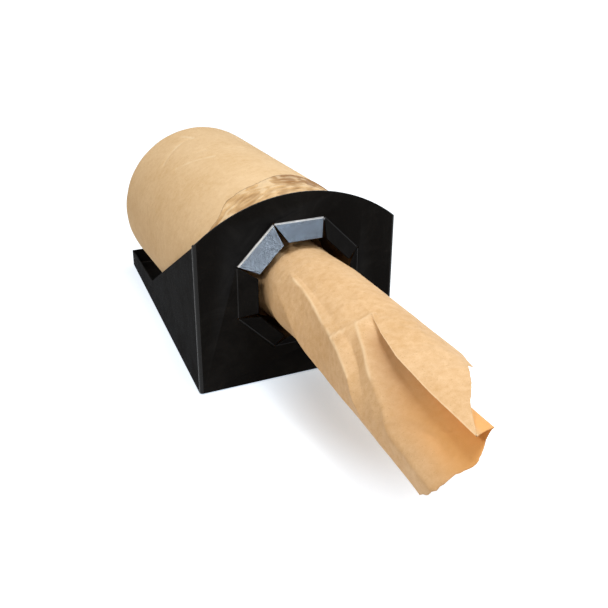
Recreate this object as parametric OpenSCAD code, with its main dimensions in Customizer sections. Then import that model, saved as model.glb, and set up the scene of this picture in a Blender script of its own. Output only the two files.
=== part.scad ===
// Counter-top dispenser for a roll of kraft void-fill paper. A bent sheet-steel shell holds the
// roll on its side, and the paper is drawn from the middle of the roll through a ring of petals
// that are cut from the front plate and bent forwards. Millimetres, +Z up, the front faces -Y.

/* [Paper roll] */
// Diameter of the wound roll
roll_d = 232; // [200:1:250]
// Length of the roll, which is also the width of its paper
roll_l = 365; // [320:1:380]
// Diameter of the hollow that is left as the paper is drawn from the middle
bore_d = 124; // [112:1:140]
// Rounding of the roll's end edges
roll_edge_r = 1.5; // [0.5:0.5:3]
// Width of the torn band of outer paper at the roll's front end
band_w = 49; // [20:1:60]
// Depth of the step that the torn band lies in
band_step = 1.2; // [0.8:0.1:2]
// Space between the band and the paper under it
band_gap = 0.1; // [0.05:0.05:0.3]
// Space between the roll and the floor that it lies on
seat_gap = 0.3; // [0.2:0.1:0.5]

/* [Shell] */
// Thickness of the steel sheet
sheet_t = 1.5; // [1:0.1:2]
// Outside radius of the bends between the front plate and the sides
bend_r = 4; // [3:0.5:6]
// Space between the roll and each side at the front
side_room = 12.5; // [9:0.5:18]
// Least space between the roll and the sides, which draw in towards the back
roll_clear = 1.2; // [0.6:0.1:3]
// Space between the front plate and the roll
front_room = 3.5; // [2.5:0.5:30]
// Space between the roll and the rear lip
back_room = 70.5; // [40:0.5:100]
// Height of the front plate at its two top corners
corner_h = 188; // [175:1:205]
// Height of the front plate's crown above the top of the roll
crown_over = 1.2; // [-5:0.1:15]
// Distance behind the front face at which the sloped edges end
slope_l = 278; // [250:1:310]
// Height of the sides where the sloped edges end
shoulder_h = 36; // [30:1:45]
// Height of the sides and the rear lip at the back
lip_h = 25; // [20:1:28]

/* [Floor pan] */
// Height of the flanges that are spot-welded to the shell
flange_h = 14; // [10:1:18]
// Outside radius of the bend under the rear lip
lip_bend_r = 4; // [2.5:0.5:6]
// Space that the pan's corners leave for the shell's bends
pan_relief = 2; // [1:0.5:4]

/* [Mouth] */
// Height of the mouth's centre above the roll's axis
mouth_rise = 5; // [0:0.5:10]
// Distance from the mouth's centre to each bend line
mouth_apothem = 79; // [72:0.5:84]
// Number of petals
petal_n = 8; // [8:2:12]
// Length of a petal's flat part
petal_l = 25; // [20:0.5:28]
// Angle that each petal is bent forwards
petal_angle = 45; // [35:1:60]
// Inside radius of a petal's bend
petal_bend_r = 1.5; // [1:0.5:3]
// Width of the cut between two petals
petal_kerf = 1.2; // [0.6:0.2:3]
// Length that each cut runs past the bend line, so that the corners don't tear
petal_relief = 0.6; // [0.4:0.1:1.5]

/* [Feet] */
// Diameter of a rubber pad
foot_d = 18; // [12:1:24]
// Thickness of a rubber pad
foot_t = 2; // [1.5:0.5:4]
// Distance from the shell's outside faces to a pad's centre
foot_inset = 22; // [16:1:34]
// Bevel around a pad's lower edge
foot_bevel = 0.5; // [0.2:0.1:0.8]

/* [Paper tail] */
// Reach of the torn end in front of the plate
tail_out = 400; // [300:1:450]
// Reach of the tail behind the front face, into the roll's hollow
tail_in = 170; // [150:1:220]
// Space that the petals' tips leave around the tail
tail_mouth_clear = 4.5; // [3:0.5:10]
// Space between the tail and the lowest petal, which it rests on
tail_seat = 0.4; // [0.3:0.1:1]
// Space between the tail and the roll's hollow
tail_bore_clear = 10; // [7:0.5:16]
// Thickness of the tail's wall
tail_t = 1.2; // [0.8:0.1:2]
// Space between the overlapping laps of the tail
tail_lap_gap = 2; // [1:0.1:3]
// Widening of the tail's section, each side, for each millimetre in front of the plate
tail_flare = 0.015; // [0:0.005:0.05]
// Flattening of the tail's section, each side, for each millimetre in front of the plate
tail_flatten = 0.035; // [0:0.005:0.05]
// Fall of the tail's middle for each millimetre in front of the plate
tail_droop = 0.025; // [0:0.005:0.05]
// Sideways drift of the tail's middle for each millimetre in front of the plate
tail_drift = 0.02; // [0:0.005:0.04]
// Length that the slanting tear takes off the short side of the end
tear_slant = 100; // [0:1:140]
// Lift of the free edge at the torn end
flap_lift = 9; // [0:0.5:15]

/* [Hidden] */
$fn = 96;
cut_over = 1;
steel_black = "#1b1b1d";
rubber_black = "#101011";
kraft = "#d9b583";
kraft_dark = "#b98f58";
kraft_light = "#e6bf8c";

// Places along the depth. The whole object, tail included, is centred on the origin
shell_l = sheet_t + front_room + roll_l + back_room + sheet_t;
front_y = (tail_out - shell_l) / 2;
back_y = front_y + shell_l;
roll_front_y = front_y + sheet_t + front_room;
roll_back_y = roll_front_y + roll_l;

// Heights. The sheet's underside stands on the pads
base_z = foot_t;
floor_z = base_z + sheet_t;
roll_r = roll_d / 2;
axis_z = floor_z + seat_gap + roll_r;
mouth_z = axis_z + mouth_rise;
crown_h = axis_z + roll_r + crown_over - base_z;

// The sides draw in as far as the roll lets them, wherever they stand beside it
front_w = roll_d + 2 * (side_room + sheet_t);
slope_steps = 40;
function side_top(run) = corner_h + (shoulder_h - corner_h) * run / slope_l;
function roll_half_width(height) = sqrt(pow(roll_r, 2) - pow(max(0, axis_z - base_z - height), 2));
side_taper = min([for (i = [1 : slope_steps])
    let (run = slope_l * i / slope_steps)
    (front_w / 2 - sheet_t - roll_clear - roll_half_width(side_top(run))) / run]);
taper_angle = atan(side_taper);
bend_y = front_y + bend_r;
bend_x = half_width(bend_y, 0) - bend_r / cos(taper_angle);
function half_width(y, inset) = front_w / 2 - (y - front_y) * side_taper - inset / cos(taper_angle);

// Arch of the front plate
arch_rise = crown_h - corner_h;
arch_r = (pow(front_w / 2, 2) + pow(arch_rise, 2)) / (2 * arch_rise);

// Petals, laid out flat before they are bent
half_side = 180 / petal_n;
petal_root = 1;
bend_length = (petal_bend_r + sheet_t / 2) * petal_angle * PI / 180;
function petal_half_width(from_bend) = (mouth_apothem - from_bend) * tan(half_side) - petal_kerf / 2;
petal_reach = petal_bend_r * (1 - cos(petal_angle)) + petal_l * sin(petal_angle);
tip_apothem = mouth_apothem - (petal_bend_r + sheet_t) * sin(petal_angle) - petal_l * cos(petal_angle);

// Tail: one sheet as wide as the roll, rolled into a tube that opens towards its torn end
tail_rings = 20;
tail_sides = 24;
tail_pitch = tail_t + tail_lap_gap;
tail_mouth_r = tip_apothem - tail_mouth_clear;
tail_bore_r = min(tail_mouth_r, bore_d / 2 - tail_bore_clear);
edge_angle = 105;
edge_turn = 30;
edge_turn_from = 200;
tear_long_angle = 135;
flap_share = 0.2;
wide_angle = 44;
function ease(x) = let (c = min(1, max(0, x))) c * c * (3 - 2 * c);
function tail_reach(angle) =
    tail_out - tear_slant * pow(sin(min(90, abs(((angle - tear_long_angle + 540) % 360) - 180))), 2);
function tail_share_in(out) = min(1, max(0, -out / (sheet_t + front_room)));
function tail_r(out) = tail_mouth_r + (tail_bore_r - tail_mouth_r) * tail_share_in(out);
function tail_wide(out) = tail_r(out) + tail_flare * max(0, out);
function tail_flat(out) = tail_r(out) - tail_flatten * max(0, out);
function tail_girth(out) = 2 * PI * sqrt((pow(tail_wide(out), 2) + pow(tail_flat(out), 2)) / 2);
function tail_edge(out) = edge_angle + edge_turn * max(0, (out - edge_turn_from) / edge_turn_from);
function tail_sweep(out) = 360 * roll_l / tail_girth(out);
function tail_angle(out, v) = tail_edge(out) - tail_sweep(out) * (1 - v);
lap_below = tail_pitch * (edge_angle + 90) / 360;
rest_z = mouth_z - (tail_mouth_clear + lap_below - tail_seat - tail_droop * petal_reach);
function tail_middle(out) =
    [-tail_drift * max(0, out), rest_z + (axis_z - rest_z) * tail_share_in(out) - tail_droop * max(0, out)];
function tail_lift(out, v) =
    tail_pitch * tail_sweep(out) / 360 * (v - 1)
    + flap_lift * ease((v - 1 + flap_share) / flap_share) * ease(out / tail_out);
function tail_out_at(u, v) = -tail_in + u * (tail_reach(tail_angle(tail_out, v)) + tail_in);
function tail_point(u, v, inner) =
    let (out = tail_out_at(u, v), m = tail_middle(out), a = tail_angle(out, v) - wide_angle,
         lift = tail_lift(out, v) - (inner ? tail_t : 0),
         wide = (tail_wide(out) + lift) * cos(a), flat = (tail_flat(out) + lift) * sin(a))
    [m[0] + wide * cos(wide_angle) - flat * sin(wide_angle), front_y - out,
     m[1] + wide * sin(wide_angle) + flat * cos(wide_angle)];

// Outline of the shell seen from above, moved inwards by inset, with its two round bends
module shell_plan(inset, end_y) {
    corner_r = bend_r - inset;
    side_y = bend_y + corner_r * sin(taper_angle);
    back_x = half_width(end_y, inset);
    side_x = half_width(side_y, inset);
    polygon([[-back_x, end_y], [-side_x, side_y], [-bend_x, front_y + inset],
             [bend_x, front_y + inset], [side_x, side_y], [back_x, end_y]]);
    for (s = [-1, 1]) translate([s * bend_x, bend_y]) circle(r = corner_r);
}

// Upright sheet, bent round the front corners
module wrap() {
    translate([0, 0, base_z]) linear_extrude(crown_h) difference() {
        shell_plan(0, back_y);
        shell_plan(sheet_t, back_y + cut_over);
    }
}

// Front view of the shell: a plate with an arched top
module front_view() {
    translate([0, back_y + cut_over, base_z]) rotate([90, 0, 0])
        linear_extrude(shell_l + 2 * cut_over) {
            translate([-front_w / 2, 0]) square([front_w, corner_h]);
            intersection() {
                translate([-front_w / 2, corner_h - cut_over]) square([front_w, arch_rise + cut_over]);
                translate([0, crown_h - arch_r]) circle(r = arch_r);
            }
        }
}

// Side view of the shell: full height at the front, then a slope down to the low rim
module side_view() {
    translate([-front_w / 2 - cut_over, 0, base_z]) rotate([90, 0, 90])
        linear_extrude(front_w + 2 * cut_over)
            polygon([[front_y - cut_over, 0], [front_y - cut_over, crown_h + cut_over],
                     [bend_y, crown_h + cut_over], [bend_y, side_top(bend_r)],
                     [front_y + slope_l, shoulder_h], [back_y, lip_h], [back_y, 0]]);
}

module mouth_hole() {
    translate([0, front_y - cut_over, mouth_z]) rotate([-90, 0, 0]) rotate(half_side)
        linear_extrude(sheet_t + 2 * cut_over)
            circle(r = (mouth_apothem + petal_relief) / cos(half_side), $fn = petal_n);
}

// One petal above the mouth's centre: a bend along the octagon's side, then a flat blade
module petal() {
    root = petal_half_width(bend_length);
    tip = petal_half_width(bend_length + petal_l);
    translate([0, front_y - petal_bend_r, mouth_apothem]) rotate([0, -90, 0]) rotate([0, 0, 90]) {
        translate([petal_bend_r, -petal_relief - petal_root, -root])
            cube([sheet_t, petal_relief + petal_root, 2 * root]);
        rotate_extrude(angle = petal_angle)
            translate([petal_bend_r, -root]) square([sheet_t, 2 * root]);
        rotate([0, 0, petal_angle]) translate([petal_bend_r, 0, 0]) rotate([90, 0, 90])
            linear_extrude(sheet_t)
                polygon([[0, -root], [petal_l, -tip], [petal_l, tip], [0, root]]);
    }
}

// Front plate, both sides and the petals, bent from one sheet
module body_shell() {
    color(steel_black) {
        difference() {
            intersection() {
                wrap();
                front_view();
                side_view();
            }
            mouth_hole();
        }
        translate([0, 0, mouth_z])
            for (k = [0 : petal_n - 1]) rotate([0, 360 * k / petal_n, 0]) petal();
    }
}

// Floor with its front corners cut back for the shell's bends
module pan_outline(inset, end_y) {
    front = front_y + sheet_t + inset;
    side_start = bend_y + pan_relief;
    front_x = bend_x - pan_relief;
    back_x = half_width(end_y, sheet_t + inset);
    side_x = half_width(side_start, sheet_t + inset);
    polygon([[-back_x, end_y], [-side_x, side_start], [-front_x, front],
             [front_x, front], [side_x, side_start], [back_x, end_y]]);
}

// Side view of the pan, moved inwards by inset: the floor's line, then a bend up to the lip
module pan_side_view(inset) {
    bend_back = back_y - lip_bend_r;
    translate([-front_w / 2, 0, base_z]) rotate([90, 0, 90]) linear_extrude(front_w)
        difference() {
            translate([front_y, inset]) square([shell_l - inset, lip_h]);
            translate([bend_back, 0]) difference() {
                square([lip_bend_r, lip_bend_r]);
                translate([0, lip_bend_r]) circle(r = lip_bend_r - inset);
            }
        }
}

// Floor, welding flanges and rear lip, bent from a second sheet
module floor_pan() {
    flange_l = shell_l - lip_bend_r;
    color(steel_black) intersection() {
        translate([0, 0, base_z]) linear_extrude(lip_h) pan_outline(0, back_y);
        union() {
            difference() {
                pan_side_view(0);
                pan_side_view(sheet_t);
            }
            difference() {
                translate([-front_w / 2, front_y, base_z]) cube([front_w, flange_l, flange_h]);
                translate([0, 0, floor_z]) linear_extrude(flange_h) pan_outline(sheet_t, back_y + cut_over);
            }
        }
    }
}

module foot(side, y) {
    color(rubber_black) translate([side * (half_width(y, 0) - foot_inset), y, 0])
        rotate_extrude()
            polygon([[0, 0], [foot_d / 2 - foot_bevel, 0], [foot_d / 2, foot_bevel],
                     [foot_d / 2, foot_t], [0, foot_t]]);
}

module foot_front_left() { foot(-1, front_y + foot_inset); }
module foot_front_right() { foot(1, front_y + foot_inset); }
module foot_back_left() { foot(-1, back_y - foot_inset); }
module foot_back_right() { foot(1, back_y - foot_inset); }

// Turns a profile of [radius, distance behind the roll's front end] about the roll's axis
module about_roll_axis() {
    translate([0, roll_front_y, axis_z]) rotate([-90, 0, 0]) rotate_extrude() children();
}

// Wound paper with an open middle and a shallow step at its front end
module paper_roll() {
    bore_r = bore_d / 2;
    step_r = roll_r - band_step;
    color(kraft) about_roll_axis()
        polygon([[bore_r, roll_edge_r], [bore_r + roll_edge_r, 0], [step_r - roll_edge_r, 0],
                 [step_r, roll_edge_r], [step_r, band_w], [roll_r, band_w],
                 [roll_r, roll_l - roll_edge_r], [roll_r - roll_edge_r, roll_l],
                 [bore_r + roll_edge_r, roll_l], [bore_r, roll_l - roll_edge_r]]);
}

// Torn outer paper that is left around the roll's front end
module wrapper_band() {
    band_in = roll_r - band_step + band_gap;
    color(kraft_dark) about_roll_axis()
        translate([band_in, roll_edge_r])
            square([band_step - 2 * band_gap, band_w - roll_edge_r - band_gap]);
}

// Rings of points along the rolled sheet. Each goes round its outside, then back along its inside
module paper_tail() {
    loop = 2 * (tail_sides + 1);
    points = [for (i = [0 : tail_rings], k = [0 : loop - 1])
        let (inner = k > tail_sides, j = inner ? loop - 1 - k : k)
        tail_point(i / tail_rings, j / tail_sides, inner)];
    walls = [for (i = [0 : tail_rings - 1], k = [0 : loop - 1])
        let (a = i * loop + k, b = i * loop + (k + 1) % loop)
        each [[a, b, b + loop], [a, b + loop, a + loop]]];
    ends = [for (i = [0, tail_rings], j = [0 : tail_sides - 1])
        let (a = i * loop + j, b = a + 1, c = i * loop + loop - 2 - j, d = c + 1)
        each i == 0 ? [[a, c, b], [a, d, c]] : [[a, b, c], [a, c, d]]];
    color(kraft_light) polyhedron(points, concat(walls, ends));
}

body_shell();
floor_pan();
foot_front_left();
foot_front_right();
foot_back_left();
foot_back_right();
paper_roll();
wrapper_band();
paper_tail();
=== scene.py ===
import math
import random

import bmesh
import bpy
from mathutils import Matrix, Vector, noise


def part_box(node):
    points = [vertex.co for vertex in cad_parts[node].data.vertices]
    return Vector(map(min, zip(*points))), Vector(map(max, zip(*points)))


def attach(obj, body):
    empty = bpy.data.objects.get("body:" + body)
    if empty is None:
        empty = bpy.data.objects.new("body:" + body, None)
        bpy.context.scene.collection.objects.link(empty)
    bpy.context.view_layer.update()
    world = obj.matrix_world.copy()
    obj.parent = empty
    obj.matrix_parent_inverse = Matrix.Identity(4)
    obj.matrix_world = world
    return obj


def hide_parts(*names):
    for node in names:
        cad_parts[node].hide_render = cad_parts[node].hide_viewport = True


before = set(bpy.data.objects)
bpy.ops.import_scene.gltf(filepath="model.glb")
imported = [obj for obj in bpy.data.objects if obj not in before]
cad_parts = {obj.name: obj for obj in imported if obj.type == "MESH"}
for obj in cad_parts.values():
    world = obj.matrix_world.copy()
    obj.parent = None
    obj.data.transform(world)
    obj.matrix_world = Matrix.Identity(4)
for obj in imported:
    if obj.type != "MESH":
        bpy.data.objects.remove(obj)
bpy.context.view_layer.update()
scene = bpy.context.scene
scene.view_settings.view_transform = "Standard"

# places that every piece shares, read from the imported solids
rollLow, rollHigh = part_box("paper_roll")
tailLow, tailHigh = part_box("paper_tail")
axisZ = (rollLow.z + rollHigh.z) / 2
rollRadius = (rollHigh.x - rollLow.x) / 2
rollLength = rollHigh.y - rollLow.y
plateGap = 0.005                        # from the front plate's face to the roll
frontY = rollLow.y - plateGap
tailOut = frontY - tailLow.y
tailIn = tailHigh.y - frontY
weldDistance = 1e-6                     # points closer than this become one
print("frame loaded:", len(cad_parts), "nodes, roll radius", round(rollRadius, 4))


def ease(x):
    c = min(1.0, max(0.0, x))
    return c * c * (3 - 2 * c)


def mix(a, b, share):
    return a + (b - a) * share


def between(x, points):
    # straight line through a few given points, level past both ends
    if x <= points[0][0]:
        return points[0][1]
    for (x0, y0), (x1, y1) in zip(points, points[1:]):
        if x <= x1:
            return mix(y0, y1, (x - x0) / (x1 - x0))
    return points[-1][1]


def signedAngle(angle):
    return (angle + 180) % 360 - 180


def hump(angle, middle, half):
    # 1 at the middle, 0 from half on to both sides
    return ease(1 - abs(signedAngle(angle - middle)) / half)


# crumpled paper: straight creases that waver a little, each strong only in patches
foldLook = dict(waver=0.3, waverScale=14, patchMiddle=0.5, patchContrast=1.7, saltRange=50)


def makeFolds(seed, count, shortest, longest, depth=1.0):
    draw = random.Random(seed)
    folds = []
    for number in range(count):
        direction = Vector((draw.gauss(0, 1), draw.gauss(0, 1), depth * draw.gauss(0, 1))).normalized()
        folds.append((direction, draw.uniform(shortest, longest), draw.uniform(0, foldLook["saltRange"])))
    return folds


def foldHeight(folds, spot, patches):
    # from 0 to 1: triangle waves along the folds' directions
    look = foldLook
    total = 0.0
    for direction, wave, salt in folds:
        waver = look["waver"] * noise.noise(spot * look["waverScale"] + Vector((salt, 0, 0)))
        place = spot.dot(direction) / wave + salt + waver
        patch = noise.noise(spot * patches + Vector((0, salt, 0)))
        weight = ease(look["patchMiddle"] + look["patchContrast"] * patch)
        total += weight * abs(place % 1 * 2 - 1)
    return total / len(folds)


def creasePath(line, radius):
    # a crease given as places along the paper and angles round it, laid flat
    return [Vector((place, math.radians(angle) * radius)) for place, angle in line]


def fromCrease(path, place, angle, radius):
    # distance from a crease, over the flat paper
    spot = Vector((place, math.radians(angle) * radius))
    nearest = 1.0
    for start, stop in zip(path, path[1:]):
        run = stop - start
        share = min(1.0, max(0.0, (spot - start).dot(run) / run.length_squared))
        nearest = min(nearest, (spot - start - run * share).length)
    return nearest


# shared node helpers
def setInput(tree, socket, value):
    if isinstance(value, bpy.types.NodeSocket):
        tree.links.new(value, socket)
    else:
        socket.default_value = value


def addNode(tree, kind, inputs=None, **settings):
    node = tree.nodes.new(kind)
    for key, value in settings.items():
        setattr(node, key, value)
    for key, value in (inputs or {}).items():
        setInput(tree, node.inputs[key], value)
    return node


def mathNode(tree, operation, first, second, clamp=False):
    node = addNode(tree, "ShaderNodeMath", {0: first, 1: second}, operation=operation, use_clamp=clamp)
    return node.outputs[0]


def addScaled(tree, total, value, factor):
    return mathNode(tree, "ADD", total, mathNode(tree, "MULTIPLY", value, factor))


def vectorNode(tree, operation, *values):
    return addNode(tree, "ShaderNodeVectorMath", dict(enumerate(values)), operation=operation).outputs


def mixColor(tree, share, first, second, blend="MIX"):
    node = addNode(tree, "ShaderNodeMix", {0: share, 6: first, 7: second}, data_type="RGBA", blend_type=blend)
    return node.outputs[2]


def rampNode(tree, value, low, high):
    inputs = {"Value": value, "From Min": low, "From Max": high}
    return addNode(tree, "ShaderNodeMapRange", inputs, interpolation_type="SMOOTHSTEP").outputs["Result"]


def noiseNode(tree, vector, scale, detail, **more):
    inputs = {"Vector": vector, "Scale": scale, "Detail": detail, **more}
    return addNode(tree, "ShaderNodeTexNoise", inputs).outputs[0]


def objectCoords(tree):
    return addNode(tree, "ShaderNodeTexCoord").outputs["Object"]


def addTones(tree, color, tones):
    # each tone: the attribute that it follows, its colour, how much of it at most, and the attribute's values
    # between which it fades in, or None where the attribute itself is its share
    for attribute, tone, most, fade in tones:
        share = addNode(tree, "ShaderNodeAttribute", attribute_name=attribute).outputs["Fac"]
        if fade:
            share = rampNode(tree, share, *fade)
        color = mixColor(tree, mathNode(tree, "MULTIPLY", share, most), color, tone)
    return color


def addBump(tree, shader, height, distance):
    bump = addNode(tree, "ShaderNodeBump", {"Height": height, "Distance": distance, "Strength": 1.0})
    tree.links.new(bump.outputs[0], shader.inputs["Normal"])


def newGroup(name, inputs, outputs):
    group = bpy.data.node_groups.new(name, "ShaderNodeTree")
    for label, kind, value in inputs:
        socket = group.interface.new_socket(name=label, in_out="INPUT", socket_type=kind)
        if value is not None:
            socket.default_value = value
    for label, kind in outputs:
        group.interface.new_socket(name=label, in_out="OUTPUT", socket_type=kind)
    return group, group.nodes.new("NodeGroupInput").outputs, group.nodes.new("NodeGroupOutput").inputs


def placeGroup(tree, group, **inputs):
    return addNode(tree, "ShaderNodeGroup", inputs, node_tree=group).outputs


def newMaterial(name, **principled):
    material = bpy.data.materials.new(name)
    material.use_nodes = True
    tree = material.node_tree
    shader = tree.nodes["Principled BSDF"]
    for key, value in principled.items():
        shader.inputs[key.replace("_", " ")].default_value = value
    return material, tree, shader


def srgb(red, green, blue):
    def linear(c):
        c /= 255
        return c / 12.92 if c <= 0.04045 else ((c + 0.055) / 1.055) ** 2.4
    return (linear(red), linear(green), linear(blue), 1.0)


# kraft paper for the roll, the band and the tail: cloudy pulp, fine grain, dark flecks and sharp little
# creases. A crease has a direction, half a wavelength and an offset for its patches
fibreLook = dict(blotchScale=16.0, cloudScale=120.0, cloudRough=0.65, grainScale=900.0, grainShare=0.8,
                 fleckScale=420.0, fleckEdge=(0.26, 0.10), fleckRare=0.78, fleckTone=srgb(140, 100, 58),
                 shakeScale=26.0, shake=0.012, facetScale=150.0, cloudHigh=0.4, grainHigh=0.4, facetHigh=0.7,
                 patchScale=34.0, patchEdge=(0.50, 0.66),
                 creases=[((0.85, 0.50, 0.16), 0.010, 3.0), ((-0.42, 0.88, 0.22), 0.015, 11.0),
                          ((0.28, -0.30, 0.91), 0.012, 19.0)])


def makeKraftGroup(look):
    group, given, result = newGroup(
        "kraftFibre",
        [("Vector", "NodeSocketVector", None), ("Light", "NodeSocketColor", srgb(230, 198, 150)),
         ("Dark", "NodeSocketColor", srgb(200, 160, 108)), ("Blotch", "NodeSocketFloat", 0.5),
         ("Cloud", "NodeSocketFloat", 0.5), ("Fleck", "NodeSocketFloat", 0.3),
         ("Crease", "NodeSocketFloat", 0.3)],
        [("Color", "NodeSocketColor"), ("Height", "NodeSocketFloat")])
    vector = given["Vector"]
    blotch = noiseNode(group, vector, look["blotchScale"], 3.0)
    cloud = noiseNode(group, vector, look["cloudScale"], 5.0, Roughness=look["cloudRough"])
    grain = noiseNode(group, vector, look["grainScale"], 3.0)
    share = 0.0
    for pattern, strength in ((blotch, given["Blotch"]), (cloud, given["Cloud"]),
                              (grain, look["grainShare"])):
        share = addScaled(group, share, mathNode(group, "SUBTRACT", pattern, 0.5), strength)
    share = mathNode(group, "ADD", share, 0.5, clamp=True)
    paper = mixColor(group, share, given["Dark"], given["Light"])

    cells = addNode(group, "ShaderNodeTexVoronoi", {"Vector": vector, "Scale": look["fleckScale"]}).outputs
    chosen = addNode(group, "ShaderNodeSeparateColor", {0: cells["Color"]}).outputs[0]
    fleck = rampNode(group, cells["Distance"], *look["fleckEdge"])
    fleck = mathNode(group, "MULTIPLY", fleck, mathNode(group, "GREATER_THAN", chosen, look["fleckRare"]))
    fleck = mathNode(group, "MULTIPLY", fleck, given["Fleck"])
    group.links.new(mixColor(group, fleck, paper, look["fleckTone"]), result["Color"])

    shake = addNode(group, "ShaderNodeTexNoise",
                    {"Vector": vector, "Scale": look["shakeScale"], "Detail": 2.0})
    bent = mixColor(group, look["shake"], vector, shake.outputs["Color"], "ADD")
    facets = addNode(group, "ShaderNodeTexVoronoi", {"Vector": bent, "Scale": look["facetScale"]})
    height = mathNode(group, "MULTIPLY", cloud, look["cloudHigh"])
    height = addScaled(group, height, grain, look["grainHigh"])
    height = addScaled(group, height, facets.outputs["Distance"], look["facetHigh"])
    for direction, half, salt in look["creases"]:
        along = vectorNode(group, "DOT_PRODUCT", bent, direction)["Value"]
        crest = mathNode(group, "DIVIDE", mathNode(group, "PINGPONG", along, half), half)
        moved = addNode(group, "ShaderNodeMapping", {"Vector": vector, "Location": (salt, salt, 0)})
        patch = noiseNode(group, moved.outputs[0], look["patchScale"], 2.0)
        crest = mathNode(group, "MULTIPLY", crest, rampNode(group, patch, *look["patchEdge"]))
        height = addScaled(group, height, crest, given["Crease"])
    group.links.new(height, result["Height"])
    return group


# a sprayed coat for the steel and the rubber: orange peel, slow ripples and rubbed patches
sprayLook = dict(peelScale=1500.0, rippleScale=95.0, patchScale=22.0, patchRough=0.7, patchTwist=0.6,
                 rubEdge=(0.42, 0.72))


def makeCoatGroup(look):
    group, given, result = newGroup(
        "sprayedCoat",
        [("Vector", "NodeSocketVector", None), ("Peel", "NodeSocketFloat", 0.5),
         ("Ripple", "NodeSocketFloat", 0.5)],
        [("Height", "NodeSocketFloat"), ("Rub", "NodeSocketFloat")])
    vector = given["Vector"]
    peel = noiseNode(group, vector, look["peelScale"], 2.0)
    ripple = noiseNode(group, vector, look["rippleScale"], 2.0)
    patch = noiseNode(group, vector, look["patchScale"], 6.0, Roughness=look["patchRough"],
                      Distortion=look["patchTwist"])
    height = addScaled(group, mathNode(group, "MULTIPLY", peel, given["Peel"]), ripple, given["Ripple"])
    group.links.new(height, result["Height"])
    group.links.new(rampNode(group, patch, *look["rubEdge"]), result["Rub"])
    return group


kraftGroup = makeKraftGroup(fibreLook)
coatGroup = makeCoatGroup(sprayLook)
surfaceBump = 0.0004                    # depth of the relief on papers and coats


def makeKraft(name, light, dark, blotch, cloud, fleck, crease, roughness, tones, coords="Object"):
    material, tree, shader = newMaterial(name, Roughness=roughness, Specular_IOR_Level=0.25)
    vector = addNode(tree, "ShaderNodeTexCoord").outputs[coords]
    paper = placeGroup(tree, kraftGroup, Vector=vector, Light=light, Dark=dark, Blotch=blotch, Cloud=cloud,
                       Fleck=fleck, Crease=crease)
    tree.links.new(addTones(tree, paper["Color"], tones), shader.inputs["Base Color"])
    addBump(tree, shader, paper["Height"], surfaceBump)
    return material


def makeCoat(name, specular, smoothest, dullest, dark, light, tones=(), peel=0.35, ripple=1.0,
             tint=(1, 1, 1, 1)):
    material, tree, shader = newMaterial(name, Specular_IOR_Level=specular, Specular_Tint=tint)
    coat = placeGroup(tree, coatGroup, Vector=objectCoords(tree), Peel=peel, Ripple=ripple)
    color = mixColor(tree, coat["Rub"], dark, light)
    tree.links.new(addTones(tree, color, tones), shader.inputs["Base Color"])
    rough = addScaled(tree, smoothest, coat["Rub"], dullest - smoothest)
    tree.links.new(rough, shader.inputs["Roughness"])
    addBump(tree, shader, coat["Height"], surfaceBump)
    return material


def finishMesh(bm, sharpAngle):
    for face in bm.faces:
        face.smooth = True
    for edge in bm.edges:
        if edge.is_manifold:
            edge.smooth = edge.calc_face_angle(0.0) < math.radians(sharpAngle)


def newPiece(name, bm, body, slotName, *materials):
    mesh = bpy.data.meshes.new(name)
    bm.to_mesh(mesh)
    bm.free()
    for material in materials:
        mesh.materials.append(material)
    piece = bpy.data.objects.new(name, mesh)
    scene.collection.objects.link(piece)
    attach(piece, body)
    return piece


# camera at the photograph's angle, for a square picture
cameraView = dict(place=(-0.3858, -0.8504, 0.5173), azimuth=25.326, elevation=24.705, tilt=0.292,
                  focalPixels=831.65, imagePixels=608, sensor=36.0, nearest=0.01)


def makeCamera(view):
    azimuth, elevation, tilt = (math.radians(view[key]) for key in ("azimuth", "elevation", "tilt"))
    forward = Vector((math.sin(azimuth) * math.cos(elevation), math.cos(azimuth) * math.cos(elevation),
                      -math.sin(elevation)))
    level = Vector((math.cos(azimuth), -math.sin(azimuth), 0))
    upright = level.cross(forward)
    right = level * math.cos(tilt) + upright * math.sin(tilt)
    up = upright * math.cos(tilt) - level * math.sin(tilt)
    data = bpy.data.cameras.new("camera")
    data.sensor_width = view["sensor"]
    data.lens = view["focalPixels"] / view["imagePixels"] * view["sensor"]
    data.clip_start = view["nearest"]
    camera = bpy.data.objects.new("camera", data)
    turned = Matrix((right, up, -forward)).transposed().to_4x4()
    camera.matrix_world = Matrix.Translation(view["place"]) @ turned
    scene.collection.objects.link(camera)
    scene.camera = camera


makeCamera(cameraView)
print("camera set")


# steel pieces: the solids' own shapes, with their cut edges softened by the coat. Handling shines the bends,
# and the paper shines the two petals that it is pulled over. The bends at these two petals' bases are
# coloured
# pale grey: a painted highlight
steelLook = dict(edge=0.0003, segments=2, flatAngle=0.6, sharpAngle=32, bendArea=0.00026, highlightStart=0.00005,
                 highlightStop=0.0015, shinedFrom=65, shinedTo=155, mouthZ=0.1248)
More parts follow.
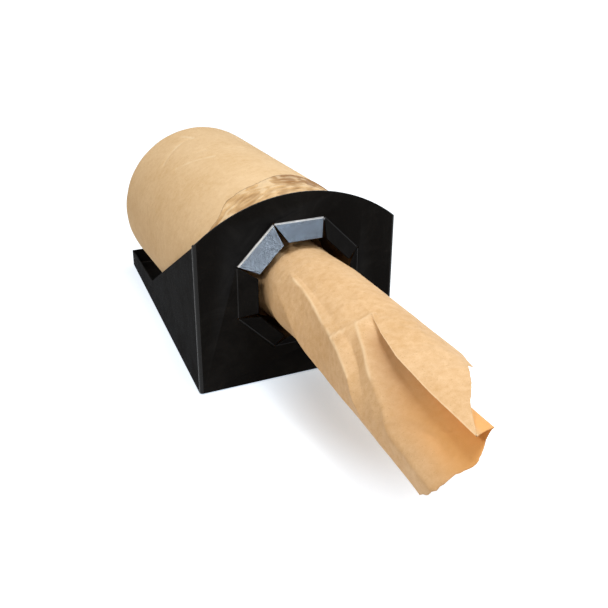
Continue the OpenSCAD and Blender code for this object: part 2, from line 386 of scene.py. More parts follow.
# lighter grey on every bevelled edge: partly edge wear, partly painted highlight, also on concave edges
wornEdgeHighlight = [("edgeWearAndHighlight", srgb(50, 50, 53), 1.0, None)]
steelCoats = [
    dict(name="blackCoat", specular=0.0015, smoothest=0.45, dullest=0.60, dark=srgb(23, 23, 24),
         light=srgb(31, 31, 32), tones=wornEdgeHighlight),
    dict(name="shinedCoat", specular=0.75, smoothest=0.13, dullest=0.19, dark=srgb(13, 13, 14),
         light=srgb(19, 19, 20), tones=wornEdgeHighlight, tint=(0.58, 0.75, 1.0, 1)),
    dict(name="bendCoat", specular=0.18, smoothest=0.24, dullest=0.32, dark=srgb(20, 20, 21),
         light=srgb(26, 26, 27), tones=wornEdgeHighlight),
    # pale grey bends at the bases of the two shined petals: painted highlight
    dict(name="paintedHighlightBend", specular=0.50, smoothest=0.20, dullest=0.30, dark=srgb(150, 156, 166),
         light=srgb(206, 211, 219), tones=wornEdgeHighlight)]


def coatIndex(face, look):
    # 0 for the plain coat, 1 for a shined petal, 2 for a bend, 3 for a bend coloured pale grey as a painted
    # highlight
    curved = [e for e in face.edges if e.is_manifold
              and look["flatAngle"] < math.degrees(e.calc_face_angle(0.0)) < look["sharpAngle"]]
    middle = face.calc_center_median()
    angle = math.degrees(math.atan2(middle.z - look["mouthZ"], middle.x))
    shined = look["shinedFrom"] < angle < look["shinedTo"]
    if shined and frontY - look["highlightStop"] < middle.y < frontY - look["highlightStart"]:
        return 3
    if len(curved) >= 2 and face.calc_area() < look["bendArea"]:
        return 2
    return 1 if shined and middle.y < frontY - look["highlightStop"] else 0


def softenedCopy(nodeName, pieceName, look, materials):
    bm = bmesh.new()
    bm.from_mesh(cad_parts[nodeName].data)
    bmesh.ops.remove_doubles(bm, verts=bm.verts, dist=weldDistance)
    bmesh.ops.dissolve_limit(bm, angle_limit=math.radians(look["flatAngle"]), verts=bm.verts, edges=bm.edges)
    bmesh.ops.bisect_plane(bm, geom=bm.verts[:] + bm.edges[:] + bm.faces[:], plane_no=(0, 1, 0),
                           plane_co=(0, frontY - look["highlightStop"], 0))
    edgeWearAndHighlight = bm.faces.layers.float.new("edgeWearAndHighlight")
    for face in bm.faces:
        face.material_index = coatIndex(face, look)
    sharpFrom = math.radians(look["sharpAngle"])
    sharp = [e for e in bm.edges if e.is_manifold and e.calc_face_angle(0.0) > sharpFrom]
    made = bmesh.ops.bevel(bm, geom=sharp, offset=look["edge"], offset_type="OFFSET",
                           segments=look["segments"], profile=0.5, affect="EDGES", material=-1,
                           clamp_overlap=True)
    # the bevel's faces take the lighter edge tone: partly edge wear, partly painted highlight
    for face in made["faces"]:
        face[edgeWearAndHighlight] = 1.0
    for face in bm.faces:
        face.smooth = True
    piece = newPiece(pieceName, bm, "dispenser", "black_steel", *materials)
    piece.modifiers.new("flatFaces", "WEIGHTED_NORMAL").weight = 100
    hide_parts(nodeName)


steelMaterials = [makeCoat(**coat) for coat in steelCoats]
softenedCopy("body_shell", "shellPlate", steelLook, steelMaterials)
softenedCopy("floor_pan", "floorPan", steelLook, steelMaterials)
print("steel pieces made")


# rubber pads: a rounded disc with a shallow ring pressed into its underside
padLook = dict(round=0.0006, roundSteps=4, grooveAt=0.55, grooveWide=0.0012, grooveFloor=0.5,
               grooveDeep=0.0004, steps=48, sharpAngle=40)
padCoat = dict(name="padRubber", specular=0.3, smoothest=0.75, dullest=0.85, dark=srgb(22, 22, 23),
               light=srgb(40, 39, 38), peel=0.9, ripple=0.3)


def makePad(nodeName, look, material):
    low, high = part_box(nodeName)
    centre = (low + high) / 2
    radius = (high.x - low.x) / 2
    groove = radius * look["grooveAt"]
    half = look["grooveWide"] / 2
    floorHalf = half * look["grooveFloor"]
    floorZ = low.z + look["grooveDeep"]
    sideLine = [(0, low.z), (groove - half, low.z), (groove - floorHalf, floorZ),
                (groove + floorHalf, floorZ), (groove + half, low.z)]
    for corner in range(look["roundSteps"] + 1):
        turn = math.radians(90 * corner / look["roundSteps"])
        inset = look["round"] * (1 - math.sin(turn))
        rise = look["round"] * (1 - math.cos(turn))
        sideLine.append((radius - inset, low.z + rise))
    sideLine += [(radius, high.z), (0, high.z)]
    bm = bmesh.new()
    line = [bm.verts.new((centre.x + r, centre.y, z)) for r, z in sideLine]
    edges = [bm.edges.new(pair) for pair in zip(line, line[1:])]
    bmesh.ops.spin(bm, geom=line + edges, cent=(centre.x, centre.y, 0), axis=(0, 0, 1), angle=2 * math.pi,
                   steps=look["steps"], use_merge=True)
    bmesh.ops.remove_doubles(bm, verts=bm.verts, dist=weldDistance)
    bmesh.ops.recalc_face_normals(bm, faces=bm.faces)
    finishMesh(bm, look["sharpAngle"])
    words = nodeName.split("_")
    piece = newPiece("pad" + words[1].title() + words[2].title(), bm, "dispenser", "foot_rubber", material)
    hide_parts(nodeName)


padRubber = makeCoat(**padCoat)
for padNode in ("foot_front_left", "foot_front_right", "foot_back_left", "foot_back_right"):
    makePad(padNode, padLook, padRubber)
print("rubber pads made")


# torn band of outer paper round the roll's front end: angles are from +X towards +Z, in degrees. It widens in
# two steps, each a width with the angle where it starts and the turn that it takes, and narrows again after
bandLook = dict(narrow=0.042, widenings=[(0.017, 138, 16), (0.018, 106, 26)], narrowFrom=62, narrowTurn=70,
                seat=0.0002, wrinkle=0.0026, deepest=0.9, foldGain=2.2, patches=45, flatRim=0.002,
                flatFade=0.006, thick=0.0002, rim=0.0003, curl=0.0008, curlWide=0.004, tearFine=0.0016,
                tearCoarse=0.0035, tearSalt=3.7, around=480, along=48, pressedAt=270, pressedHalf=40,
                sharpAngle=180)
# band tones: browner towards the right in streaky patches, a painted highlight along the front rim and
# painted shade along the torn edge
bandToneLook = dict(brownFrom=101, brownTurn=18, brownTo=20, brownOut=40, brownEdge=0.15, brownFade=0.6,
                 streaks=[(0.4, 60), (0.3, 170)], rimHighlight=0.8, rimHighlightWide=0.0035, rimHighlightFade=0.004, tornFrom=0.965,
                 tornFade=0.03)
bandFolds = makeFolds(seed=5, count=6, shortest=0.006, longest=0.018)
bandPaper = dict(name="bandPaper", light=srgb(230, 199, 154), dark=srgb(186, 149, 102), blotch=1.3, cloud=1.3,
                 fleck=0.2, crease=1.6, roughness=0.5,
                 tones=[("brown", srgb(150, 109, 62), 0.9, (0.0, 1.0)),
                        # darker in the folds' hollows and paler on their tops, following crest: painted shade
                        # and painted highlight
                        ("crest", srgb(150, 110, 64), 0.55, (0.45, 0.9)),
                        ("crest", srgb(248, 228, 194), 0.4, (0.40, 0.25)),
                        # cream along the front rim: painted highlight
                        ("rimHighlight", srgb(238, 216, 180), 0.8, (0.0, 1.0)),
                        # darker brown along the torn edge: painted shade
                        ("torn", srgb(142, 104, 60), 0.8, (0.0, 1.0))])


# waves in the outline of a tear, for the band and the tail
tearWaves = dict(coarse=4, fine=17, finest=41, finestShare=0.6)


def tearLine(angle, salt, fine, coarse):
    turn = math.radians(angle)
    around = Vector((math.cos(turn), math.sin(turn), salt))
    ragged = noise.noise(around * tearWaves["fine"])
    ragged += tearWaves["finestShare"] * noise.noise(around * tearWaves["finest"])
    return coarse * noise.noise(around * tearWaves["coarse"]) + fine * ragged


def bandEnd(angle):
    # how far back from the roll's front end the band covers it
    look = bandLook
    turned = signedAngle(angle)
    rise = sum(wider * ease((start - turned) / turn) for wider, start, turn in look["widenings"])
    fall = ease((look["narrowFrom"] - turned) / look["narrowTurn"])
    reach = look["narrow"] + rise * (1 - fall)
    return reach + tearLine(angle, look["tearSalt"], look["tearFine"], look["tearCoarse"])


def rollPoint(angle, y, radius):
    turn = math.radians(angle)
    return Vector((radius * math.cos(turn), y, axisZ + radius * math.sin(turn)))


# wound roll: thousands of turns show as uneven rings on both ends, and the turns that were drawn out first
# leave its bore wider in front. It lies lower under the band, and a few faint creases cross its back, each
# with a pale line along it, partly rubbed paper and partly painted highlight. The creases are lines of places
# behind the front end and angles
rollLook = dict(bore=0.062, boreFlare=0.020, flareDeep=0.045, ring=0.0014, ringGap=0.0001, shift=0.0006,
                edgeRound=0.0012, outerStep=0.0025, boreStep=0.012, steps=250, skin=1e-4, wobble=0.0005,
                wobbleScale=11, least=0.0001, rimCrush=0.0009, rimWide=0.014, rimScale=45, bandRoom=0.0006,
                bandLip=0.0005, bandStep=0.004, creaseDeep=0.0011, creaseHalf=0.0055, paleLineHalf=0.003,
                paleLineMiddle=0.7, paleLineScale=60, drawnInside=0.01, endFacing=0.7, sharpAngle=35, seed=11)
rollCreases = [[(0.343, 108), (0.310, 101), (0.309, 110), (0.300, 119), (0.282, 132)],
               [(0.229, 91), (0.232, 78)], [(0.245, 110), (0.242, 103)], [(0.240, 128), (0.205, 104)]]
rollPaper = dict(name="kraftRoll", light=srgb(238, 212, 176), dark=srgb(215, 182, 136), blotch=0.9, cloud=1.1,
                 fleck=0.3, crease=0.5, roughness=0.72, tones=[("creaseRubAndHighlight", srgb(252, 236, 208), 0.55, None)])
ringLook = dict(turns=2600.0, bandScale=220.0, turnShare=0.6, bandShare=0.4, edge=(0.3, 0.7), bump=0.0005)


def makeWoundEdge(name, dark, light, look):
    # the roll's end faces show the edges of the turns as fine rings
    material, tree, shader = newMaterial(name, Roughness=0.85, Specular_IOR_Level=0.2)
    centred = addNode(tree, "ShaderNodeMapping", {"Vector": objectCoords(tree), "Location": (0, 0, -axisZ)})
    axes = addNode(tree, "ShaderNodeSeparateXYZ", {0: centred.outputs[0]}).outputs
    flat = addNode(tree, "ShaderNodeCombineXYZ", {"X": axes["X"], "Y": axes["Z"]}).outputs[0]
    radius = vectorNode(tree, "LENGTH", flat)["Value"]

    def ringNoise(place, scale):
        inputs = {"W": place, "Scale": scale, "Detail": 2.0}
        return addNode(tree, "ShaderNodeTexNoise", inputs, noise_dimensions="1D").outputs[0]

    rings = ringNoise(mathNode(tree, "MULTIPLY", radius, look["turns"]), 1.0)
    share = mathNode(tree, "MULTIPLY", rings, look["turnShare"])
    share = addScaled(tree, share, ringNoise(radius, look["bandScale"]), look["bandShare"])
    color = mixColor(tree, rampNode(tree, share, *look["edge"]), dark, light)
    tree.links.new(color, shader.inputs["Base Color"])
    addBump(tree, shader, rings, look["bump"])
    return material


def rollLine(look):
    # half section of the roll: front rings, outside, rear rings and bore, as radius and y
    draw = random.Random(look["seed"])

    def boreAt(y):
        return look["bore"] + look["boreFlare"] * (1 - ease((y - rollLow.y) / look["flareDeep"]))

    def endRings(y, inwards):
        inner = boreAt(y)
        count = int((rollRadius - inner) / look["ring"])
        rings = []
        for index in range(count):
            start = mix(inner, rollRadius, index / count)
            stop = mix(inner, rollRadius, (index + 1) / count)
            depth = inwards * draw.uniform(0, look["shift"])
            rings += [(start + look["ringGap"], y + depth), (stop - look["ringGap"], y + depth)]
        rings[0] = (inner, y + inwards * look["edgeRound"])
        rings[-1] = (rollRadius, y + inwards * look["edgeRound"])
        return rings

    line = endRings(rollLow.y, 1)
    outerCount = int(rollLength / look["outerStep"])
    line += [(rollRadius, mix(rollLow.y, rollHigh.y, k / outerCount)) for k in range(1, outerCount)]
    line += reversed(endRings(rollHigh.y, -1))
    boreCount = int(rollLength / look["boreStep"])
    boreLine = [mix(rollHigh.y, rollLow.y, k / boreCount) for k in range(1, boreCount)]
    return line + [(boreAt(y), y) for y in boreLine]


def makeRoll(look):
    bm = bmesh.new()
    verts = [bm.verts.new((r, y, axisZ)) for r, y in rollLine(look)]
    edges = [bm.edges.new(pair) for pair in zip(verts, verts[1:] + verts[:1])]
    bmesh.ops.spin(bm, geom=verts + edges, cent=(0, 0, axisZ), axis=(0, 1, 0), angle=2 * math.pi,
                   steps=look["steps"], use_merge=True)
    bmesh.ops.remove_doubles(bm, verts=bm.verts, dist=weldDistance)
    bmesh.ops.recalc_face_normals(bm, faces=bm.faces)
    creaseRubAndHighlight = bm.verts.layers.float.new("creaseRubAndHighlight")
    paths = [creasePath(line, rollRadius) for line in rollCreases]
    underBand = bandLook["wrinkle"] * bandLook["deepest"] + look["bandRoom"]
    for vert in bm.verts:
        radius = math.hypot(vert.co.x, vert.co.z - axisZ)
        if radius < rollRadius - look["skin"]:
            continue
        angle = math.degrees(math.atan2(vert.co.z - axisZ, vert.co.x))
        behind = vert.co.y - rollLow.y
        sink = look["wobble"] * (0.5 + 0.5 * noise.noise(vert.co * look["wobbleScale"])) + look["least"]
        nearest = min(fromCrease(path, behind, angle, rollRadius) for path in paths)
        sink += look["creaseDeep"] * max(0, 1 - nearest / look["creaseHalf"])
        # a pale line along each crease, in patches: partly rubbed paper, partly painted highlight
        patchy = ease(look["paleLineMiddle"] + noise.noise(vert.co * look["paleLineScale"]))
        vert[creaseRubAndHighlight] = max(0, 1 - nearest / look["paleLineHalf"]) * patchy
        crushed = ease(1 - min(behind, rollLength - behind) / look["rimWide"])
        sink += look["rimCrush"] * crushed * (0.5 + 0.5 * noise.noise(vert.co * look["rimScale"]))
        sink += underBand * ease((bandEnd(angle) - look["bandLip"] - behind) / look["bandStep"])
        vert.co = rollPoint(angle, vert.co.y, radius - sink)
    for face in bm.faces:
        face.normal_update()
        middle = face.calc_center_median()
        fromAxis = math.hypot(middle.x, middle.z - axisZ)
        # faces of the front flare take the darker copy of the wound edge: painted shade
        drawnOut = middle.y - rollLow.y < look["flareDeep"] and fromAxis < rollRadius - look["drawnInside"]
        face.material_index = 2 if drawnOut else 1 if abs(face.normal.y) > look["endFacing"] else 0
    finishMesh(bm, look["sharpAngle"])
    return bm


kraftRoll = makeKraft(**rollPaper)
woundEdge = makeWoundEdge("woundEdge", srgb(150, 112, 70), srgb(200, 162, 112), ringLook)
# darker copy of the wound edge for the bore's front flare: painted shade where the plate and petals shade it
paintedShadeEdge = makeWoundEdge("paintedShadeEdge", srgb(74, 53, 31), srgb(108, 80, 49), ringLook)
woundRoll = newPiece("woundRoll", makeRoll(rollLook), "roll", "kraft_roll", kraftRoll, woundEdge, paintedShadeEdge)
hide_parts("paper_roll")
print("roll made")


def makeBand(look, toneLook):
    bm = bmesh.new()
    bmesh.ops.create_grid(bm, x_segments=look["around"], y_segments=look["along"], size=0.5)
    brown, rimHighlight, torn, crest = (bm.verts.layers.float.new(name)
                                for name in ("brown", "rimHighlight", "torn", "crest"))
    for vert in bm.verts:
        angle = 360 * (vert.co.x + 0.5)
        share = vert.co.y + 0.5
        end = bandEnd(angle)
        behind = look["rim"] + share * (end - look["rim"])
        spot = rollPoint(angle, rollLow.y + behind, rollRadius)
        pressed = hump(angle, look["pressedAt"], look["pressedHalf"])
        folded = min(look["deepest"], look["foldGain"] * foldHeight(bandFolds, spot, look["patches"]))
        inward = ease((end - look["flatRim"] - behind) / look["flatFade"])
        sunk = look["wrinkle"] * folded * (1 - pressed) * inward
        sunk += look["curl"] * (1 - min(1, behind / look["curlWide"])) ** 2
        turned = signedAngle(angle)
        browner = ease((toneLook["brownFrom"] - turned) / toneLook["brownTurn"])
        browner *= 1 - ease((toneLook["brownTo"] - turned) / toneLook["brownOut"])
        streaks = sum(strength * noise.noise(spot * scale) for strength, scale in toneLook["streaks"])
        vert[brown] = browner * ease((share - toneLook["brownEdge"] - streaks) / toneLook["brownFade"])
        # cream on the first few millimetres behind the front rim: painted highlight
        vert[rimHighlight] = toneLook["rimHighlight"] * (1 - ease((behind - toneLook["rimHighlightWide"]) / toneLook["rimHighlightFade"]))
        # the fold height also sets the painted shade in hollows and the painted highlight on tops
        vert[crest] = folded
        # darker along the torn edge: painted shade
        vert[torn] = ease((share - toneLook["tornFrom"]) / toneLook["tornFade"])
        vert.co = rollPoint(angle, rollLow.y + behind, rollRadius + look["seat"] - sunk)
    bmesh.ops.remove_doubles(bm, verts=bm.verts, dist=weldDistance)
    bmesh.ops.recalc_face_normals(bm, faces=bm.faces)
    finishMesh(bm, look["sharpAngle"])
    return bm


tornBand = newPiece("tornBand", makeBand(bandLook, bandToneLook), "roll", "kraft_band", makeKraft(**bandPaper))
bandWall = tornBand.modifiers.new("thickness", "SOLIDIFY")
bandWall.thickness = bandLook["thick"]
bandWall.offset = -1
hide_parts("wrapper_band")
print("torn band made")


# paper tail: one sheet as wide as the roll is long, drawn into a tube. Its edges meet underneath, and on top
# a pleat opens towards the torn end. Angles are from +X towards +Z, in degrees, and steps run from crease to
# crease
tailLook = dict(mouthRadius=0.0547, boreRadius=0.052, restZ=0.1194, flare=0.015, flatten=0.035, droop=0.025,
                drift=0.02, wideAngle=44, seamAngle=-80, underAngle=246, lap=0.0012, lapTurn=26, tuckTurn=22,
                tuckDeep=0.008, tuckFlat=0.3, tuckRun=0.2, neck=0.006, neckOver=0.012, neckRun=0.03,
                neckBack=0.05, neckRise=0.045, neckAngle=188, neckTurn=62, swellAngle=43, dentAngle=223,
                sideTurn=62, sideBack=0.02, sideRise=0.04, flatFrom=0.038, flatRun=0.035, openFrom=0.190,
                openRun=0.03, thick=0.0002, tearSlant=0.100, tearSalt=9.1,
                outerSteps=(22, 14, 18, 20, 34), tuckSteps=(10,), innerSteps=(12, 12, 10, 12, 20, 14, 20),
                along=210, ringStep=0.005, weld=2e-5, smoothing=0.3, sharpAngle=90)
tailSwell = [(0, -0.0030), (0.07, 0.0020), (0.40, 0.0010)]
tailDent = [(0, 0.0092), (0.20, 0.0075), (0.40, 0.0030)]

# small folds of the flat sheet: calm is how much weaker they are round an angle, as far as a turn from it
tailFolds = makeFolds(seed=23, count=6, shortest=0.022, longest=0.070, depth=0.0)
crumpleLook = dict(height=0.0044, patches=18, level=0.2, weakest=0.35, growFrom=0.06, growRun=0.2,
                   startFrom=0.022, startRun=0.03, calm=[(0.85, 43, 34), (0.6, 215, 40)], tickHalf=0.007)

# creases read off the photograph, each a line of points: distance in front of the plate, angle, height
tailCreases = dict(
    fold=[(0.192, 102, 0), (0.210, 106.5, 0.0015), (0.226, 111, 0.0032), (0.266, 118, 0.0058),
          (0.326, 121.5, 0.0085), (0.400, 122.5, 0.010)],
    valley=[(0.192, 102, 0), (0.210, 109, -0.0030), (0.236, 117, -0.0070), (0.264, 123, -0.0092),
            (0.300, 128, -0.0110), (0.358, 132, -0.0115), (0.400, 133, -0.0115)],
    bulge=[(0.060, 118, 0), (0.100, 118, 0.0002), (0.188, 119, 0.0004), (0.208, 127, 0.0022),
           (0.222, 132, 0.0012), (0.254, 148, -0.0008), (0.282, 157, -0.001), (0.306, 174, 0),
           (0.342, 176, 0.001), (0.400, 181, 0.001)],
    hollow=[(0.060, 124, 0), (0.100, 126, 0.0004), (0.184, 134, 0.0002), (0.206, 139, -0.0038),
            (0.224, 148, -0.0045), (0.258, 171, -0.0032), (0.306, 189, -0.001), (0.400, 199, 0)],
    ridge=[(0.044, 127, 0), (0.062, 130, 0.0024), (0.088, 131, 0.0034), (0.114, 134, 0.0034),
           (0.142, 140, 0.0030), (0.180, 146, 0.0028), (0.198, 151, 0.0026), (0.224, 163, 0.0018),
           (0.258, 192, 0.0005), (0.400, 214, 0)],
    side=[(0.050, 157, 0), (0.070, 161, 0), (0.092, 171, 0), (0.110, 184, 0), (0.160, 200, 0),
          (0.258, 214, 0), (0.400, 228, 0)])
pleatStart = tailCreases["fold"][0][0]

# facets that start at the outer layer's angles and the inner layer's creases: how flat they get, and whether
# they are so everywhere, or from the tube's start or the pleat's start on
tailFacets = dict(outer=[(-20, 0.4, "tube"), (10, 0.2, "all"), (43, 0.5, "pleat"), (76, 0.4, "pleat")],
                  inner=[("valley", 0.7, "pleat"), ("bulge", 0.8, "pleat"), ("hollow", 0.8, "pleat"),
                         ("ridge", 0.95, "tube"), ("side", 0.3, "tube")])

# short creases that cross the long ones: a height, with distances in front of the plate and angles
tailTicks = [(0.0032, [(0.180, 145), (0.186, 130), (0.192, 116), (0.192, 102)]),
             (0.0012, [(0.046, 150), (0.066, 134)]),
             (-0.0022, [(0.318, 156), (0.346, 145), (0.372, 150)]),
             (0.0010, [(0.150, 96), (0.192, 102), (0.236, 84)]),
             (0.0009, [(0.214, 62), (0.262, 88), (0.300, 92)])]
tickPaths = [(tall, creasePath(line, tailLook["mouthRadius"])) for tall, line in tailTicks]

# the sharpest creases, which get a pale line, partly rubbed paper and partly painted highlight: the first
# short one, and stretches of the ridge and the bulge
paleCreasePaths = [tickPaths[0][1]]
for creaseName, first, last in (("ridge", 1, 8), ("bulge", 2, 6)):
    creaseLine = [(place, turn) for place, turn, height in tailCreases[creaseName][first:last]]
    paleCreasePaths.append(creasePath(creaseLine, tailLook["mouthRadius"]))

# how far in front of the plate the torn end lies, at angles round the outer layer and then the inner one
tailTear = dict(outer=[(-80, 0.285), (0, 0.262), (40, 0.272), (56, 0.296), (64, 0.315), (70, 0.312),
                       (81, 0.328), (98, 0.352), (106, 0.362), (122.5, 0.396)],
                inner=[(106, 0.386), (134, 0.396), (176, 0.384), (223, 0.352), (300, 0.305)],
                fine=0.0012, coarse=0.0022)

# where the pleat gets painted shade, the pocket under the flap a painted warm bounce light, and the creases a
# pale line, partly rubbed paper and partly painted highlight; the flap's edge gets a painted highlight
tailShade = dict(underSteps=4, pocketFrom=0.24, pocketRun=0.14, shadeFrom=0.006, shadeRun=0.03,
                 shadeReach=1.4, pocketClears=0.7, paleLineHalf=0.0024, paleLineMiddle=0.8, paleLineScale=50,
                 flapEdgeHighlight=0.7)
tailPaper = dict(name="kraftTail", light=srgb(233, 201, 162), dark=srgb(208, 169, 121), blotch=0.9, cloud=1.6,
                 fleck=0.35, crease=0.95, roughness=0.6, coords="UV",
                 tones=[("shade", srgb(176, 132, 88), 0.7, None), ("pocketBounce", srgb(244, 180, 104), 0.75, None),
                        ("creaseRubAndHighlight", srgb(254, 234, 202), 0.48, None)])


def tailInside(out):
    return min(1.0, max(0.0, -out / plateGap))


def tailProfile(out, angle):
    # the tube swells to the upper right, is pressed in at the lower left and drawn in beside the left petal
    look = tailLook
    shape = between(out, tailSwell) * hump(angle, look["swellAngle"], look["sideTurn"])
    shape -= between(out, tailDent) * hump(angle, look["dentAngle"], look["sideTurn"])
    drawnIn = 1 - ease((out - look["neckOver"]) / look["neckRun"])
    beside = hump(angle, look["neckAngle"], look["neckTurn"])
    drawnIn *= beside * ease((out + look["neckBack"]) / look["neckRise"])
    return shape * ease((out + look["sideBack"]) / look["sideRise"]) - look["neck"] * drawnIn


def tailSection(out, angle, lift):
    # point of the tube's section at an angle, moved outwards by lift
    look = tailLook
    front = max(0.0, out)
    inside = tailInside(out)
    radius = mix(look["mouthRadius"], look["boreRadius"], inside) + lift + tailProfile(out, angle)
    turn = math.radians(angle - look["wideAngle"])
    lean = math.radians(look["wideAngle"])
    along = (radius + look["flare"] * front) * math.cos(turn)
    over = (radius - look["flatten"] * front) * math.sin(turn)
    middleX = -look["drift"] * front
    middleZ = mix(look["restZ"], axisZ, inside) - look["droop"] * front
    return Vector((middleX + along * math.cos(lean) - over * math.sin(lean), frontY - out,
                   middleZ + along * math.sin(lean) + over * math.cos(lean)))


def creaseAt(name, out):
    points = tailCreases[name]
    angle = between(out, [(place, turn) for place, turn, height in points])
    return angle, between(out, [(place, height) for place, turn, height in points])


def tailRails(out):
    # the outer and the inner layer, as the creases that they run through: angle, height, flatness to the next
    look = tailLook
    grown = dict(all=1.0, tube=ease((out - look["flatFrom"]) / look["flatRun"]),
                 pleat=ease((out - look["openFrom"]) / look["openRun"]))
    tucked = ease((out - pleatStart) / look["tuckRun"])
    fold = creaseAt("fold", out)
    outer = [(look["seamAngle"], 0, 0)]
    outer += [(angle, 0, most * grown[stretch]) for angle, most, stretch in tailFacets["outer"]]
    outer.append(fold + (0,))
    inner = [(fold[0] - look["tuckTurn"] * tucked, -look["tuckDeep"] * tucked, look["tuckFlat"])]
    inner += [creaseAt(name, out) + (most * grown[stretch],) for name, most, stretch in tailFacets["inner"]]
    inner += [(look["underAngle"], 0, 0), (look["seamAngle"] + 360, 0, 0)]
    return outer, inner


def onRails(rails, steps):
    # angle and height of every column: straight facets between the creases, as far as their flatness says
    columns = [rails[0][:2]]
    for (turn0, height0, flat), (turn1, height1, nextFlat), count in zip(rails, rails[1:], steps):
        sag = tailLook["mouthRadius"] * (1 - math.cos(math.radians(turn1 - turn0) / 2))
        for step in range(1, count + 1):
            share = step / count
            columns.append((mix(turn0, turn1, share),
                            mix(height0, height1, share) - flat * sag * 4 * share * (1 - share)))
    return columns


def runningLength(out, columns):
    spots = [tailSection(out, angle, lift) for angle, lift in columns]
    places = [0.0]
    for start, stop in zip(spots, spots[1:]):
        places.append(places[-1] + (stop - start).length)
    return places


def tailRing(out):
    # angle, height and place across the flat sheet of every column. The inner layer ends where the sheet does
    look = tailLook
    outer, inner = tailRails(out)
    columns = onRails(outer, look["outerSteps"])
    columns += onRails([outer[-1], inner[0]], look["tuckSteps"])[1:]
    columns += onRails(inner, look["innerSteps"])[1:]
    places = runningLength(out, columns)
    last = look["innerSteps"][-1]
    turnsLeft = (rollLength - places[-1 - last]) / (places[-1] - places[-1 - last])
    start = inner[-2][0]
    end = inner[-1][0]
    for step in range(1, last + 1):
        angle = start + (end - start) * turnsLeft * step / last
        lapped = ease((angle - end + look["lapTurn"]) / look["lapTurn"])
        columns[step - last - 1] = (angle, -look["lap"] * lapped)
    return [spot + (place,) for spot, place in zip(columns, runningLength(out, columns))]


def tearAt(layer, angle):
    tear = tearLine(angle, tailLook["tearSalt"], tailTear["fine"], tailTear["coarse"])
    return between(angle, tailTear[layer]) - tear


def crumple(out, angle, place, look):
    # straight folds of the flat sheet, and the short creases
    strength = mix(look["weakest"], 1.0, ease((out - look["growFrom"]) / look["growRun"]))
    strength *= ease((out - look["startFrom"]) / look["startRun"])
    for weaker, middle, half in look["calm"]:
        strength *= 1 - weaker * hump(angle, middle, half)
    folded = foldHeight(tailFolds, Vector((place, out, 0)), look["patches"])
    height = look["height"] * (folded - look["level"]) * strength
    for tall, path in tickPaths:
        nearest = fromCrease(path, out, angle, tailLook["mouthRadius"])
        height += tall * max(0.0, 1 - nearest / look["tickHalf"])
    return height


def makeTail(look, tone):
    foldColumn = sum(look["outerSteps"])
    tuckColumn = foldColumn + sum(look["tuckSteps"])
    valleyColumn = tuckColumn + look["innerSteps"][0]
    ridgeColumn = tuckColumn + sum(look["innerSteps"][:4])
    across = tuckColumn + sum(look["innerSteps"])
    ringCount = int((tailOut + tailIn) / look["ringStep"]) + 2
    rings = [tailRing(-tailIn + k * look["ringStep"]) for k in range(ringCount)]

    def spotAt(out, column):
        place = (out + tailIn) / look["ringStep"]
        low = min(ringCount - 2, max(0, int(place)))
        return [mix(a, b, place - low) for a, b in zip(rings[low][column], rings[low + 1][column])]

    def reachAt(column):
        angle = rings[-1][column][0]
        if column <= foldColumn:
            return tearAt("outer", angle)
        if column >= tuckColumn:
            return tearAt("inner", angle)
        tucked = (column - foldColumn) / (tuckColumn - foldColumn)
        return mix(reachAt(foldColumn), reachAt(tuckColumn), tucked)

    # rows are shared by all columns up to the pleat, and stretch to each column's own tear after it
    reaches = [reachAt(column) for column in range(across + 1)]
    bm = bmesh.new()
    bmesh.ops.create_grid(bm, x_segments=across, y_segments=look["along"], size=0.5)
    flatMap = bm.loops.layers.uv.new("sheet")
    crisp = bm.verts.layers.int.new("crisp")
    pocketBounce, shade, creaseRubAndHighlight = (bm.verts.layers.float.new(name) for name in ("pocketBounce", "shade", "creaseRubAndHighlight"))
    spots = {}
    for vert in bm.verts:
        column = round((vert.co.x + 0.5) * across)
        out = -tailIn + (vert.co.y + 0.5) * (tailOut + tailIn)
        pleated = out > pleatStart
        if pleated:
            out = pleatStart + (out - pleatStart) * (reaches[column] - pleatStart) / (tailOut - pleatStart)
        angle, lift, place = spotAt(out, column)
        spots[vert] = (place, out)
        vert[crisp] = column == ridgeColumn or (pleated and column in (foldColumn, tuckColumn, valleyColumn))
        past = (column - valleyColumn) / look["innerSteps"][1]
        under = ease((column - foldColumn) / tone["underSteps"])
        # painted warm bounce light in the pocket under the flap, and painted shade in the pleat beside it
        vert[pocketBounce] = under * (1 - ease(past)) * ease((out - tone["pocketFrom"]) / tone["pocketRun"])
        shaded = under * (1 - ease(past / tone["shadeReach"]))
        shaded *= ease((out - pleatStart - tone["shadeFrom"]) / tone["shadeRun"])
        vert[shade] = shaded * (1 - tone["pocketClears"] * vert[pocketBounce])
        # a pale line along the sharpest creases, in patches: partly rubbed paper, partly painted highlight
        nearest = min(fromCrease(path, out, angle, look["mouthRadius"]) for path in paleCreasePaths)
        patchy = ease(tone["paleLineMiddle"] + noise.noise(Vector((place, out, 0)) * tone["paleLineScale"]))
        # the flap's edge gets the pale tone all along: painted highlight
        onEdge = pleated and column == foldColumn
        vert[creaseRubAndHighlight] = tone["flapEdgeHighlight"] if onEdge else max(0.0, 1 - nearest / tone["paleLineHalf"]) * patchy
        vert.co = tailSection(out, angle, lift + crumple(out, angle, place, crumpleLook))
    for face in bm.faces:
        for loop in face.loops:
            loop[flatMap].uv = spots[loop.vert]
    bmesh.ops.remove_doubles(bm, verts=bm.verts, dist=look["weld"])
    loose = [v for v in bm.verts if not v.is_boundary and not v[crisp]]
    bmesh.ops.smooth_vert(bm, verts=loose, factor=look["smoothing"], use_axis_x=True, use_axis_y=True,
                          use_axis_z=True)
    bm.verts.layers.int.remove(crisp)
    bmesh.ops.recalc_face_normals(bm, faces=bm.faces)
    finishMesh(bm, look["sharpAngle"])
    return bm


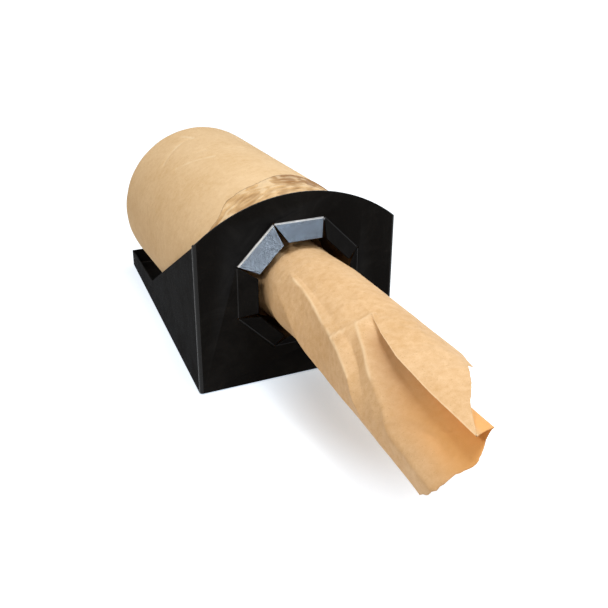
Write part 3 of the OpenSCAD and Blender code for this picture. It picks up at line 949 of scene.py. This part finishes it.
paperTail = newPiece("paperTail", makeTail(tailLook, tailShade), "tail", "kraft_tail", makeKraft(**tailPaper))
thickness = paperTail.modifiers.new("thickness", "SOLIDIFY")
thickness.thickness = tailLook["thick"]
thickness.offset = 0
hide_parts("paper_tail")
print("tail made")


# pale floor that keeps the shadow, and white surroundings for what the camera and reflections see. The
# floor's glow is weaker round its middle, where the tail's shadow lies, which paints shade there, and rises
# to white far out
stageLook = dict(size=6.0, floorColor=(0.71, 0.70, 0.69, 1), glowColor=(0.76, 0.87, 1.0, 1), glowNear=0.34,
                 glowFar=0.86, glowMiddle=(0.030, -0.130, 0), glowStretch=0.5, glowStart=0.03, glowStop=0.12,
                 whiteStart=0.5, whiteStop=1.6, ambient=0.42, ambientColor=(1.0, 0.83, 0.60, 1))


def seenDirectly(tree):
    path = addNode(tree, "ShaderNodeLightPath").outputs
    seen = mathNode(tree, "MAXIMUM", path["Is Camera Ray"], path["Is Glossy Ray"])
    return mathNode(tree, "MAXIMUM", seen, path["Is Transmission Ray"])


def makeFloor(look):
    bm = bmesh.new()
    bmesh.ops.create_grid(bm, x_segments=1, y_segments=1, size=look["size"])
    mesh = bpy.data.meshes.new("floor")
    bm.to_mesh(mesh)
    bm.free()
    material = bpy.data.materials.new("paleFloor")
    material.use_nodes = True
    tree = material.node_tree
    tree.nodes.clear()
    matt = addNode(tree, "ShaderNodeBsdfDiffuse", {"Color": look["floorColor"]})
    away = vectorNode(tree, "SUBTRACT", objectCoords(tree), look["glowMiddle"])[0]
    squeezed = vectorNode(tree, "MULTIPLY", away, (1, look["glowStretch"], 1))[0]
    distance = vectorNode(tree, "LENGTH", squeezed)["Value"]
    farther = rampNode(tree, distance, look["glowStart"], look["glowStop"])
    # the glow dips round glowMiddle under the tail: painted shade deepening the shadow there
    level = addScaled(tree, look["glowNear"], farther, look["glowFar"] - look["glowNear"])
    edge = rampNode(tree, distance, look["whiteStart"], look["whiteStop"])
    level = addScaled(tree, level, edge, look["glowFar"])
    glow = addNode(tree, "ShaderNodeEmission", {
        "Color": look["glowColor"], "Strength": mathNode(tree, "MULTIPLY", seenDirectly(tree), level)})
    both = addNode(tree, "ShaderNodeAddShader", {0: matt.outputs[0], 1: glow.outputs[0]})
    addNode(tree, "ShaderNodeOutputMaterial", {"Surface": both.outputs[0]})
    mesh.materials.append(material)
    floor = bpy.data.objects.new("floor", mesh)
    scene.collection.objects.link(floor)


def makeWorld(look):
    world = bpy.data.worlds.new("studio")
    world.use_nodes = True
    scene.world = world
    tree = world.node_tree
    tree.nodes.clear()
    seen = seenDirectly(tree)
    strength = addNode(tree, "ShaderNodeMix", {0: seen, 2: look["ambient"], 3: 1.0}).outputs[0]
    color = mixColor(tree, seen, look["ambientColor"], (1, 1, 1, 1))
    sky = addNode(tree, "ShaderNodeBackground", {"Color": color, "Strength": strength})
    addNode(tree, "ShaderNodeOutputWorld", {"Surface": sky.outputs[0]})


makeFloor(stageLook)
makeWorld(stageLook)

# soft boxes: a large one overhead, and small ones whose shine shows on the two upper petals and on the bends
softBoxes = [
    dict(name="overhead", place=(0.10, -0.35, 1.50), wide=0.6, watts=12.2, color=(0.92, 0.97, 1.0)),
    dict(name="highRight", place=(0.54, -0.48, 1.35), wide=0.25, watts=1.6, color=(1.0, 0.92, 0.82)),
    dict(name="highLeft", place=(-0.88, -0.71, 0.99), wide=0.16, watts=4.1, color=(1.0, 0.92, 0.82)),
    dict(name="lowFront", place=(0.60, -1.30, 0.55), wide=0.25, watts=1.6, color=(1.0, 1.0, 1.0))]
lampTarget = Vector((0, 0, 0.1))

for box in softBoxes:
    lampData = bpy.data.lights.new(box["name"], "AREA")
    lampData.size = box["wide"]
    lampData.energy = box["watts"]
    lampData.color = box["color"]
    lamp = bpy.data.objects.new(box["name"], lampData)
    lamp.location = box["place"]
    lamp.rotation_euler = (lampTarget - lamp.location).to_track_quat("-Z", "Y").to_euler()
    scene.collection.objects.link(lamp)
print("stage and lights set")
